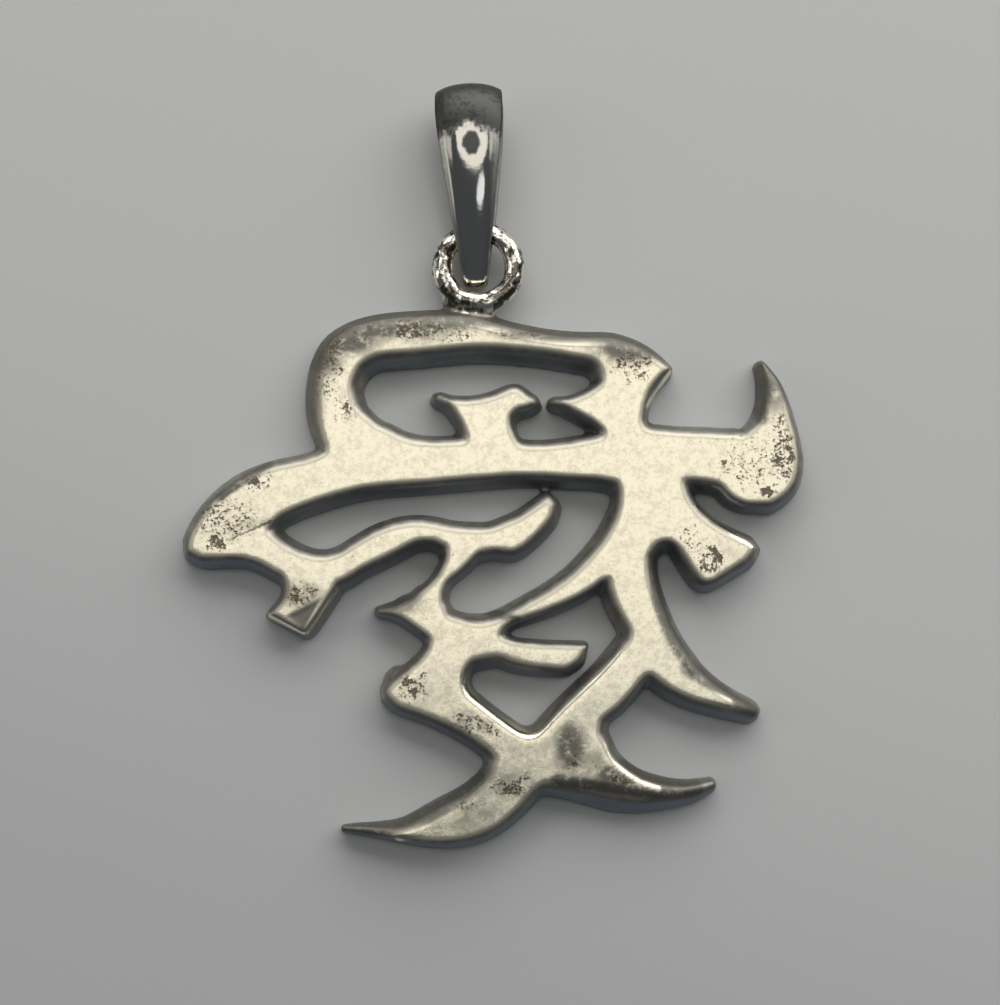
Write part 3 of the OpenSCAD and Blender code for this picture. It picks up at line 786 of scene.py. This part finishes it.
@dataclass
class CharacterPlate:
    """The cast plate with its soldered ring: a softened copy of the part's own solid."""

    weld_mm: float = 0.001
    voxel_mm: float = 0.135
    softening: float = 0.5
    softenings: int = 3
    cloud_layers: int = 2
    swell_mm: float = 0.012
    swell_size_mm: float = 2.6
    ring_lump_mm: float = 0.2
    ring_lump_size_mm: float = 0.85
    ring_centre_mm: tuple[float, float, float] = (-0.76, 10.95, 1.25)
    ring_radius_mm: float = 1.98
    ring_wire_mm: float = 1.1
    facet_mm: tuple = ((-10.95, -8.0), (-9.1, -7.05), (-10.05, -8.75))
    facet_depth_mm: float = 0.05
    swell_from_mm: Range = (0.2, 0.6)
    ring_reach: Range = (0.58, 0.85)
    top_mm: Range = (1.2, 1.7)
    facet_edge_mm: Range = (-0.06, 0.08)
    facet_slope_mm: Range = (-0.06, 0.25)
    crease_rounds: int = 12
    pit_reach: float = 0.85
    patch_fade: Range = (0.35, 1.5)
    line_fade: Range = (0.6, 1.6)
    upper_mm: Range = (0.5, 1.0)
    low_mm: Range = (0.1, 0.55)
    face_mm: float = 2.0
    face_up: Range = (0.35, 0.8)
    sunk_mm: Range = (0.2, 0.9)
    steep_tilt: Range = (0.1, 0.4)
    south_lean: Range = (0.25, 0.7)
    # How dark the steep walls get towards their foot, and how strong the painted shade is on steep walls
    # that face south.
    low_darkening: float = 0.9
    south_painted_shade: float = 0.85
    hollow_bulge: Range = (0.015, 0.06)
    up_rounds: int = 2
    bulge_rounds: int = 3
    facet_share: Array | float = 0.0

    def build(self) -> bpy.types.Object:
        """Makes the plate's mesh, its attributes and its finish.

        Returns:
            The finished piece.
        """
        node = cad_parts["character_plate"]
        piece = bpy.data.objects.new("cast_character", node.data.copy())
        bpy.context.scene.collection.objects.link(piece)
        work = Work(piece)
        piece.data.transform(Matrix.Translation(Vector(SHIFT)).inverted() @ Matrix.Scale(1.0 / MM, 4))
        work.edit_all(lambda: bpy.ops.mesh.remove_doubles(threshold=self.weld_mm))
        work.modify("REMESH", mode="VOXEL", voxel_size=self.voxel_mm)
        work.modify("SMOOTH", factor=self.softening, iterations=self.softenings)
        self._swell(work)
        self._lump_ring(work)
        self._sink_facet(work)
        self._even_crease(work)
        self._paint(work)
        piece.data.transform(Matrix.Scale(MM, 4) @ Matrix.Translation(SHIFT))
        work.dress(CastSilver().material())
        return piece

    def _near_ring(self, places: Array) -> Array:
        """How much each place belongs to the ring.

        Args:
            places: places in millimetres.

        Returns:
            1 on the ring's wire, falling to 0 beside it.
        """
        out = places - np.array(self.ring_centre_mm)
        beside = np.hypot(out[:, 0], out[:, 1]) - self.ring_radius_mm
        distance = np.hypot(beside, out[:, 2])
        return 1.0 - smooth_step(distance / self.ring_wire_mm, *self.ring_reach)

    def _displace(self, work: Work, shares: Array, size_mm: float, depth_mm: float) -> None:
        """Pushes the surface in and out with clouds.

        Args:
            work: the plate.
            shares: strength for each point.
            size_mm: size of the clouds.
            depth_mm: how far they push from lowest to highest.
        """
        clouds = bpy.data.textures.new("clouds", "CLOUDS")
        clouds.noise_scale = size_mm
        clouds.noise_depth = self.cloud_layers
        group = work.piece.vertex_groups.new(name="clouds")
        tenths = np.round(shares, 1)
        for tenth in np.unique(tenths):
            group.add(np.flatnonzero(tenths == tenth).tolist(), float(tenth), "REPLACE")
        work.modify("DISPLACE", texture=clouds, vertex_group="clouds", strength=depth_mm)
        work.piece.vertex_groups.clear()

    def _swell(self, work: Work) -> None:
        """Gives the face the slight unevenness of a cast and tumbled surface.

        Args:
            work: the plate.
        """
        height = work.places()[:, 2]
        shares = smooth_step(height, *self.swell_from_mm)
        self._displace(work, shares, self.swell_size_mm, self.swell_mm)

    def _lump_ring(self, work: Work) -> None:
        """Gives the ring and its solder their uneven, pitted skin."""
        shares = self._near_ring(work.places())
        self._displace(work, shares, self.ring_lump_size_mm, self.ring_lump_mm)

    def _sink_facet(self, work: Work) -> None:
        """Sinks the small three-cornered facet at the end of the foot, inside its bright rims.

        Args:
            work: the plate.
        """
        places = work.places()
        inside = np.full(len(places), np.inf)
        corners = [np.array(corner) for corner in self.facet_mm]
        middle = sum(corners) / len(corners)
        for here, there in zip(corners, corners[1:] + corners[:1]):
            side = there - here
            across = np.array([-side[1], side[0]]) / np.linalg.norm(side)
            if (middle - here) @ across < 0:
                across = -across
            inside = np.minimum(inside, (places[:, :2] - here) @ across)
        upper = smooth_step(places[:, 2], *self.top_mm)
        self.facet_share = smooth_step(inside, *self.facet_edge_mm) * upper
        places[:, 2] -= self.facet_depth_mm * smooth_step(inside, *self.facet_slope_mm) * upper
        work.put(places)

    def _even_crease(self, work: Work) -> None:
        """Makes the narrow end of the crease even, which the remesh leaves blotchy.

        Args:
            work: the plate.
        """
        places = work.places()
        near = self._lines(places, CREASES) * smooth_step(places[:, 2], *self.top_mm)
        once, again = (work.averaged(places[:, 2], self.crease_rounds + more) for more in (0, 1))
        even = (once + again) / 2.0
        places[:, 2] += (even - places[:, 2]) * near
        work.put(places)

    def _patches(self, places: Array, table: list) -> Array:
        """Strength of soft patches at each place.

        Args:
            places: places in millimetres.
            table: rows of [x, y, half width, half height, strength].

        Returns:
            The strongest patch at each place.
        """
        strongest = np.zeros(len(places))
        for x, y, wide, high, strength in table:
            reach = np.hypot((places[:, 0] - x) / wide, (places[:, 1] - y) / high)
            strongest = np.maximum(strongest, strength * (1.0 - smooth_step(reach, *self.patch_fade)))
        return strongest

    def _pits(self, places: Array) -> Array:
        """Strength of the single pits at each place: 1 in their middles, falling to 0 round them."""
        rows = [[x, y, radius * self.pit_reach, radius * self.pit_reach, 1.0] for x, y, radius in PITS]
        return self._patches(places, rows)

    def _lines(self, places: Array, table: list) -> Array:
        """Strength of soft lines at each place.

        Args:
            places: places in millimetres.
            table: rows of [start x, start y, end x, end y, half width].

        Returns:
            1 along each line, falling to 0 beside it.
        """
        strongest = np.zeros(len(places))
        for x0, y0, x1, y1, wide in table:
            start, run = np.array([x0, y0]), np.array([x1 - x0, y1 - y0])
            away = places[:, :2] - start
            along = np.clip(away @ run / (run @ run), 0.0, 1.0)
            beside = np.linalg.norm(away - along[:, None] * run, axis=1)
            strongest = np.maximum(strongest, 1.0 - smooth_step(beside / wide, *self.line_fade))
        return strongest

    def _paint(self, work: Work) -> None:
        """Paints the attributes that the finish reads.

        Args:
            work: the plate.
        """
        places, normals = work.places(), work.normals()
        ring = self._near_ring(places)
        up = work.averaged(normals[:, 2], self.up_rounds)
        outward = ((places - work.averaged(places, 1)) * normals).sum(1)
        bulge = work.averaged(outward, self.bulge_rounds) / self.voxel_mm
        face = smooth_step(up, *self.face_up)
        upper = smooth_step(places[:, 2], *self.upper_mm)
        low = 1.0 - smooth_step(places[:, 2], *self.low_mm)
        tilt = (1.0 - up) * (1.0 - ring)
        steep = smooth_step(tilt, *self.steep_tilt)
        south = smooth_step(-normals[:, 1], *self.south_lean)
        worn = self._lines(places, RIMS) * upper * (1.0 - self.facet_share)
        work.paint(Surface.RING, ring)
        work.paint(Surface.TILT, tilt)
        # Steep walls: darker towards their foot, and painted shade where they face south, away from the
        # lights.
        work.paint(Surface.DEEP, steep * np.maximum(self.low_darkening * low, self.south_painted_shade * south))
        work.paint(Surface.SUNK, smooth_step(self.face_mm - places[:, 2], *self.sunk_mm) * face)
        work.paint(Surface.WORN, worn)
        work.paint(Surface.HOLLOW, smooth_step(-bulge, *self.hollow_bulge) + self.facet_share)
        work.paint(Surface.PITS, self._pits(places) * upper)
        work.paint(Surface.SPECKS, self._patches(places, SPECKLES) * upper)
        # Haze patches and lines; two of the lines paint a soft shadow right of the stem.
        work.paint(Surface.HAZE, np.maximum(self._patches(places, HAZES), self._lines(places, SHADES)))


# Bail: places on the strip's centre line, seen from the side, round the loop from its bend.
# Columns: [share of the length towards the crown, height in millimetres, share of the width].
BAIL_LOOP = [
    [0.032, 0.66, 0.00],
    [0.13, 0.24, 0.11],
    [0.30, 0.22, 0.41],
    [0.50, 0.24, 0.65],
    [0.72, 0.33, 0.90],
    [0.89, 0.66, 1.00],
    [0.97, 1.30, 0.96],
    [0.98, 2.20, 0.97],
    [0.93, 3.00, 0.99],
    [0.82, 3.42, 0.98],
    [0.66, 3.35, 0.85],
    [0.48, 3.02, 0.62],
    [0.30, 2.53, 0.41],
    [0.14, 1.92, 0.12],
    [0.05, 1.32, 0.05]]

# One section of the strip, from edge to edge over its outside and back along its inside.
# Columns: [share of the half width, share of the thickness].
STRIP_SECTION = [
    [-1.00, 0.30],
    [-0.99, 0.62],
    [-0.93, 0.78],
    [-0.80, 0.84],
    [-0.72, 0.95],
    [-0.50, 1.00],
    [-0.34, 1.012],
    [-0.18, 1.018],
    [0.00, 1.02],
    [0.18, 1.018],
    [0.34, 1.012],
    [0.50, 1.00],
    [0.72, 0.95],
    [0.80, 0.84],
    [0.93, 0.78],
    [0.99, 0.62],
    [1.00, 0.30],
    [0.95, 0.05],
    [0.70, 0.00],
    [0.25, 0.00],
    [-0.25, 0.00],
    [-0.70, 0.00],
    [-0.95, 0.05]]


@dataclass
class Bail:
    """The loop bail: one polished strip, bent round the ring and wide at its crown."""

    length_mm: float = 11.15
    width_mm: float = 3.7
    neck_mm: float = 1.3
    gauge_mm: float = 0.38
    bow_mm: float = 0.32
    roll_degrees: float = -2.5
    turn_degrees: float = 2.0
    bend_mm: tuple[float, float, float] = (-0.85, 9.76, 0.0)
    steps: int = 90
    subdivisions: int = 2
    probe: float = 0.1
    crown_droop: float = 0.07
    spot_share: float = 0.672
    spot_length: float = 0.06
    spot_width: float = 0.3
    spot_side: float = 0.06
    spot_range: Range = (0.6, 1.2)
    rim_range: Range = (0.66, 0.9)
    front_mm: Range = (0.8, 1.6)
    crown_range: Range = (0.67, 0.87)

    def build(self) -> bpy.types.Object:
        """Makes the bail's mesh, its attributes and its finish.

        Returns:
            The finished piece.
        """
        bpy.ops.object.select_all(action="DESELECT")
        across = len(STRIP_SECTION)
        bpy.ops.mesh.primitive_torus_add(major_segments=self.steps, minor_segments=across)
        piece = bpy.context.object
        piece.name = "polished_bail"
        work = Work(piece)
        loop = np.repeat(np.arange(self.steps) * len(BAIL_LOOP) / self.steps, across)
        section = np.tile(np.array(STRIP_SECTION), (self.steps, 1))
        work.put(self._places(loop, section))
        work.paint(Surface.RIM, smooth_step(np.abs(section[:, 0]), *self.rim_range))
        row = self._rows(loop)
        front = smooth_step(row[:, 1], *self.front_mm)
        edge = row[:, 0] + self.crown_droop * np.abs(section[:, 0])
        work.paint(Surface.CROWN, smooth_step(edge, *self.crown_range) * front)
        # Painted reflection: a dark spot on the front below the crown, standing for the dark middle of a
        # reflected light.
        beside = (section[:, 0] - self.spot_side) / self.spot_width
        spot = np.hypot((row[:, 0] - self.spot_share) / self.spot_length, beside)
        work.paint(Surface.SPOT, (1.0 - smooth_step(spot, *self.spot_range)) * front)
        work.modify("SUBSURF", levels=self.subdivisions, render_levels=self.subdivisions)
        work.edit_all(lambda: bpy.ops.mesh.normals_make_consistent(inside=False))
        piece.data.transform(Matrix.Scale(MM, 4) @ Matrix.Translation(SHIFT))
        work.dress(MirrorSilver().material())
        return piece

    def _rows(self, loop: Array) -> Array:
        """Rows of the loop's table, blended smoothly.

        Args:
            loop: places in the table, counted in rows.

        Returns:
            One row for each place.
        """
        table = np.array(BAIL_LOOP)
        start = np.floor(loop).astype(int)
        t = (loop - start)[:, None]
        p, q, r, s = (table[(start + step) % len(table)] for step in (-1, 0, 1, 2))
        bent = (2.0 * p - 5.0 * q + 4.0 * r - s) * t * t + (3.0 * q - p - 3.0 * r + s) * t * t * t
        return 0.5 * (2.0 * q + (r - p) * t + bent)

    def _side(self, loop: Array) -> tuple[Array, Array]:
        """The strip's centre line seen from the side.

        Args:
            loop: places in the table, counted in rows.

        Returns:
            Places along Y and Z, and half widths, in millimetres.
        """
        row = self._rows(loop)
        half = (self.neck_mm + (self.width_mm - self.neck_mm) * row[:, 2]) / 2.0
        return np.stack([row[:, 0] * self.length_mm, row[:, 1]], 1), half

    def _places(self, loop: Array, section: Array) -> Array:
        """Places of the strip's points.

        Args:
            loop: each point's place in the table, counted in rows.
            section: each point's row of the section's table.

        Returns:
            Places in millimetres, in the part's frame.
        """
        centre, half = self._side(loop)
        ahead = self._side(loop + self.probe)[0] - self._side(loop - self.probe)[0]
        ahead /= np.linalg.norm(ahead, axis=1)[:, None]
        outward = np.stack([ahead[:, 1], -ahead[:, 0]], 1)
        bow = self.bow_mm * (2.0 * half / self.width_mm) ** 2
        share, thick = section.T
        lift = self.gauge_mm * (thick - 0.5) - bow * share * share
        side = centre + outward * lift[:, None]
        flat = np.column_stack([share * half, side])
        roll = Matrix.Rotation(math.radians(self.roll_degrees), 3, "Y")
        turn = Matrix.Rotation(math.radians(self.turn_degrees), 3, "Z")
        return flat @ np.array(turn @ roll).T + np.array(self.bend_mm)


@dataclass(frozen=True)
class Softbox:
    """A soft studio light that faces the pendant.

    The two tilts say how far from straight above it stands, towards the right and the far side.
    """

    name: str
    right_degrees: float
    far_degrees: float
    distance: float
    size: tuple[float, float]
    radiance: float
    colour: Colour
    shape: Outline = Outline.RECTANGLE
    roll_degrees: float = 0.0

    def build(self) -> None:
        """Adds the light."""
        light = bpy.data.lights.new(self.name, "AREA")
        light.shape = self.shape.value
        light.size, light.size_y = self.size
        fill = math.pi / 4.0 if self.shape is Outline.ELLIPSE else 1.0
        light.energy = self.radiance * math.pi * self.size[0] * self.size[1] * fill
        light.color = self.colour
        lamp = bpy.data.objects.new(self.name, light)
        right, far = (math.tan(math.radians(tilt)) for tilt in (self.right_degrees, self.far_degrees))
        place = Vector((right, far, 1.0)).normalized() * self.distance
        facing = place.to_track_quat("Z", "Y").to_matrix().to_4x4()
        roll = Matrix.Rotation(math.radians(self.roll_degrees), 4, "Z")
        lamp.matrix_world = Matrix.Translation(place) @ facing @ roll
        bpy.context.scene.collection.objects.link(lamp)


SUN_WARM = (1.0, 0.985, 0.95)
SKY_WHITE = (0.985, 0.995, 1.0)
SKY_BLUE = (0.86, 0.93, 1.0)

SOFTBOXES = [
    Softbox("overhead", 0.0, 8.0, 1.0, (0.82, 0.445), 1.03, SUN_WARM, Outline.ELLIPSE),
    Softbox("window", 29.0, 53.0, 0.33, (0.62, 0.26), 2.45, SKY_WHITE),
    Softbox("sky left", -32.0, 42.0, 0.6, (0.26, 0.20), 1.4, SKY_WHITE),
    Softbox("horizon", -12.0, 74.0, 0.5, (0.70, 0.28), 0.3, SKY_WHITE),
    Softbox("side left", -39.0, 8.0, 1.0, (0.26, 0.28), 0.6, SUN_WARM),
    Softbox("side right", 34.0, 8.0, 1.0, (0.19, 0.28), 0.65, SUN_WARM),
    Softbox("wall left", -63.0, 8.0, 0.6, (0.30, 0.26), 1.3, SUN_WARM),
    Softbox("streak", 10.5, -9.3, 1.0, (0.26, 0.13), 1.15, SKY_BLUE, Outline.ELLIPSE, -29.0),
]


@dataclass
class Studio:
    """The pale floor and the soft light."""

    floor_size: float = 3.0
    room: Colour = (0.067, 0.072, 0.084)

    def build(self) -> None:
        """Makes the floor, the lights and the room's own glow."""
        bpy.ops.object.select_all(action="DESELECT")
        bpy.ops.mesh.primitive_plane_add(size=self.floor_size)
        floor = bpy.context.object
        floor.name = "floor"
        floor.data.materials.append(PaleFloor().material())
        for softbox in SOFTBOXES:
            softbox.build()
        world = bpy.data.worlds.new("room")
        world.use_nodes = True
        world.node_tree.nodes["Background"].inputs["Color"].default_value = (*self.room, 1.0)
        bpy.context.scene.world = world
        bpy.context.scene.view_settings.view_transform = "Standard"


@dataclass
class Camera:
    """The photograph's camera, found from how the plate's walls lean away from one point."""

    frame_px: tuple[float, float] = (1000.0, 1005.0)
    focal_px: float = 1840.0
    plumb_px: tuple[float, float] = (463.0, 648.0)
    origin_px: tuple[float, float] = (494.31, 465.59)
    height: float = 0.1
    sensor: float = 36.0
    clip_share: float = 0.05

    def _ray(self, pixel: tuple[float, float]) -> Vector:
        """Direction of a pixel's ray, with x to the right, y down and z ahead.

        Args:
            pixel: the pixel.

        Returns:
            The direction, not of unit length.
        """
        wide, high = self.frame_px
        return Vector(((pixel[0] - wide / 2) / self.focal_px, (pixel[1] - high / 2) / self.focal_px, 1.0))

    def build(self) -> None:
        """Adds the camera and makes it the scene's own."""
        up = -self._ray(self.plumb_px).normalized()
        right = (Vector((1.0, 0.0, 0.0)) - up * up.x).normalized()
        north = up.cross(right)
        to_world = Matrix((right, north, up))
        ray = to_world @ self._ray(self.origin_px)
        turn = (to_world @ Matrix.Diagonal((1.0, -1.0, -1.0))).to_4x4()
        lens = bpy.data.cameras.new("photo")
        lens.sensor_width = self.sensor
        lens.lens = self.sensor * self.focal_px / max(self.frame_px)
        lens.clip_start = self.height * self.clip_share
        camera = bpy.data.objects.new("photo", lens)
        camera.matrix_world = Matrix.Translation(ray * (self.height / ray.z)) @ turn
        bpy.context.scene.collection.objects.link(camera)
        bpy.context.scene.camera = camera


def main() -> None:
    """Builds the pieces in order and reports each one."""
    Camera().build()
    Studio().build()
    for maker, node, slot in (
        (CharacterPlate(), "character_plate", "plate_silver"),
        (Bail(), "bail", "bail_silver"),
    ):
        piece = maker.build()
        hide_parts(node)
        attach(piece, "root")
        log.info("%s: %d points, %d faces", piece.name, len(piece.data.vertices), len(piece.data.polygons))


if __name__ == "__main__":
    logging.basicConfig(level=logging.INFO)
    main()
